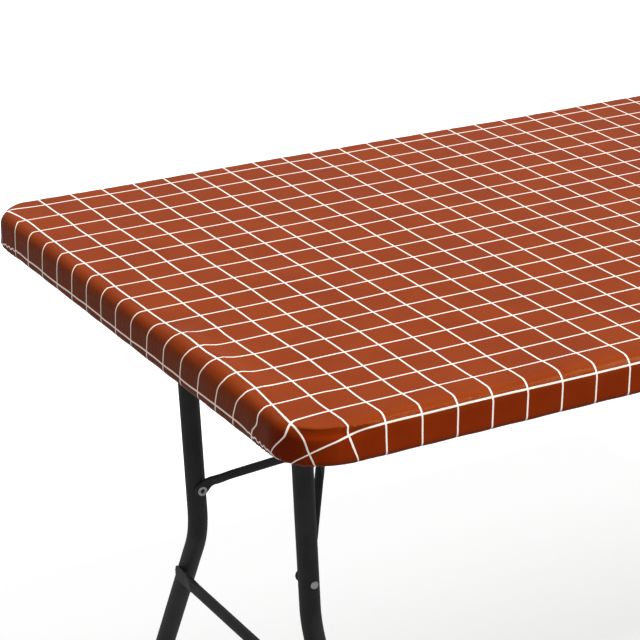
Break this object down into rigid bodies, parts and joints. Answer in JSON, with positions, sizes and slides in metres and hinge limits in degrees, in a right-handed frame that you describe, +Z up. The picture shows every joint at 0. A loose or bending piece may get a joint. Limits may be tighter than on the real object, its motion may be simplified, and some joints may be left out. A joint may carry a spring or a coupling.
{
  "type": "fitted tablecloth on folding table",
  "caption": "Fitted elastic-edged vinyl tablecloth with a white grid print, stretched over a rectangular folding table with hinged steel leg frames.",
  "frame": {"origin": "on the floor under the middle of the table top", "axes": "+X along the table, +Y across it to the far side, +Z up"},
  "size_m": [1.8322, 0.7652, 0.7386],
  "materials": {
    "vinyl_cloth": "rust vinyl with a satin sheen and a thin white grid print",
    "hem_tape": "pale flannel backing, folded over and stitched",
    "elastic": "woven white elastic",
    "moulded_panel": "pebbled blow-moulded plastic",
    "painted_steel": "charcoal powder coat",
    "zinc_steel": "bright zinc plate",
    "black_plastic": "moulded black plastic"
  },
  "bodies": {
    "root": {"table_top": "moulded_panel", "tablecloth": "vinyl_cloth", "hem_casing": "hem_tape", "hem_elastic": "elastic", "side_rail_near": "painted_steel", "side_rail_far": "painted_steel", "rail_screw_near_1": "zinc_steel", "rail_screw_near_2": "zinc_steel", "rail_screw_near_3": "zinc_steel", "rail_screw_far_1": "zinc_steel", "rail_screw_far_2": "zinc_steel", "rail_screw_far_3": "zinc_steel", "bracket_screw_1": "zinc_steel", "bracket_screw_2": "zinc_steel", "bracket_screw_3": "zinc_steel", "bracket_screw_4": "zinc_steel", "strut_bracket_left": "painted_steel", "strut_bracket_right": "painted_steel", "bracket_pin_left": "zinc_steel", "bracket_pin_right": "zinc_steel"},
    "leg_frame_left": {"pivot_tube_left": "painted_steel", "cross_brace_left": "painted_steel", "leg_near_left": "painted_steel", "leg_far_left": "painted_steel", "pivot_cap_near_left": "zinc_steel", "pivot_cap_far_left": "zinc_steel", "foot_cap_near_left": "black_plastic", "foot_cap_far_left": "black_plastic", "leg_rivet_near_left": "zinc_steel", "leg_rivet_far_left": "zinc_steel"},
    "yoke_left": {"yoke_arm_near_left": "painted_steel", "yoke_arm_far_left": "painted_steel", "yoke_rivet_near_left": "zinc_steel", "yoke_rivet_far_left": "zinc_steel"},
    "strut_assembly_left": {"strut_left": "painted_steel", "strut_bush_left": "zinc_steel"},
    "ring_left": {"lock_ring_left": "zinc_steel"},
    "leg_frame_right": {"pivot_tube_right": "painted_steel", "cross_brace_right": "painted_steel", "leg_near_right": "painted_steel", "leg_far_right": "painted_steel", "pivot_cap_near_right": "zinc_steel", "pivot_cap_far_right": "zinc_steel", "foot_cap_near_right": "black_plastic", "foot_cap_far_right": "black_plastic", "leg_rivet_near_right": "zinc_steel", "leg_rivet_far_right": "zinc_steel"},
    "yoke_right": {"yoke_arm_near_right": "painted_steel", "yoke_arm_far_right": "painted_steel", "yoke_rivet_near_right": "zinc_steel", "yoke_rivet_far_right": "zinc_steel"},
    "strut_assembly_right": {"strut_right": "painted_steel", "strut_bush_right": "zinc_steel"},
    "ring_right": {"lock_ring_right": "zinc_steel"}
  },
  "joints": [
    {"name": "leg_fold_left", "type": "hinge", "parent": "root", "child": "leg_frame_left", "pos_m": [-0.7725, 0, 0.69], "axis": [0, -1, 0], "range_deg": [0, 86.01]},
    {"name": "yoke_fold_left", "type": "hinge", "parent": "leg_frame_left", "child": "yoke_left", "pos_m": [-0.75363, 0, 0.4195], "axis": [0, -1, 0], "range_deg": [0, 52]},
    {"name": "strut_fold_left", "type": "hinge", "parent": "root", "child": "strut_assembly_left", "pos_m": [-0.45321, 0, 0.69], "axis": [0, 1, 0], "range_deg": [0, 42.01]},
    {"name": "ring_slide_left", "type": "slide", "parent": "strut_assembly_left", "child": "ring_left", "axis": [-0.7431, 0, -0.6691], "range_m": [0, 0.075]},
    {"name": "leg_fold_right", "type": "hinge", "parent": "root", "child": "leg_frame_right", "pos_m": [0.7725, 0, 0.69], "axis": [0, 1, 0], "range_deg": [0, 86.01]},
    {"name": "yoke_fold_right", "type": "hinge", "parent": "leg_frame_right", "child": "yoke_right", "pos_m": [0.75363, 0, 0.4195], "axis": [0, 1, 0], "range_deg": [0, 52]},
    {"name": "strut_fold_right", "type": "hinge", "parent": "root", "child": "strut_assembly_right", "pos_m": [0.45321, 0, 0.69], "axis": [0, -1, 0], "range_deg": [0, 42.01]},
    {"name": "ring_slide_right", "type": "slide", "parent": "strut_assembly_right", "child": "ring_right", "axis": [0.7431, 0, -0.6691], "range_m": [0, 0.075]}
  ],
  "couplings": [
    {"joint": "yoke_fold_left", "follows": "leg_fold_left", "ratio": 0.60447},
    {"joint": "strut_fold_left", "follows": "leg_fold_left", "ratio": 0.48831},
    {"joint": "yoke_fold_right", "follows": "leg_fold_right", "ratio": 0.60447},
    {"joint": "strut_fold_right", "follows": "leg_fold_right", "ratio": 0.48831}
  ]
}
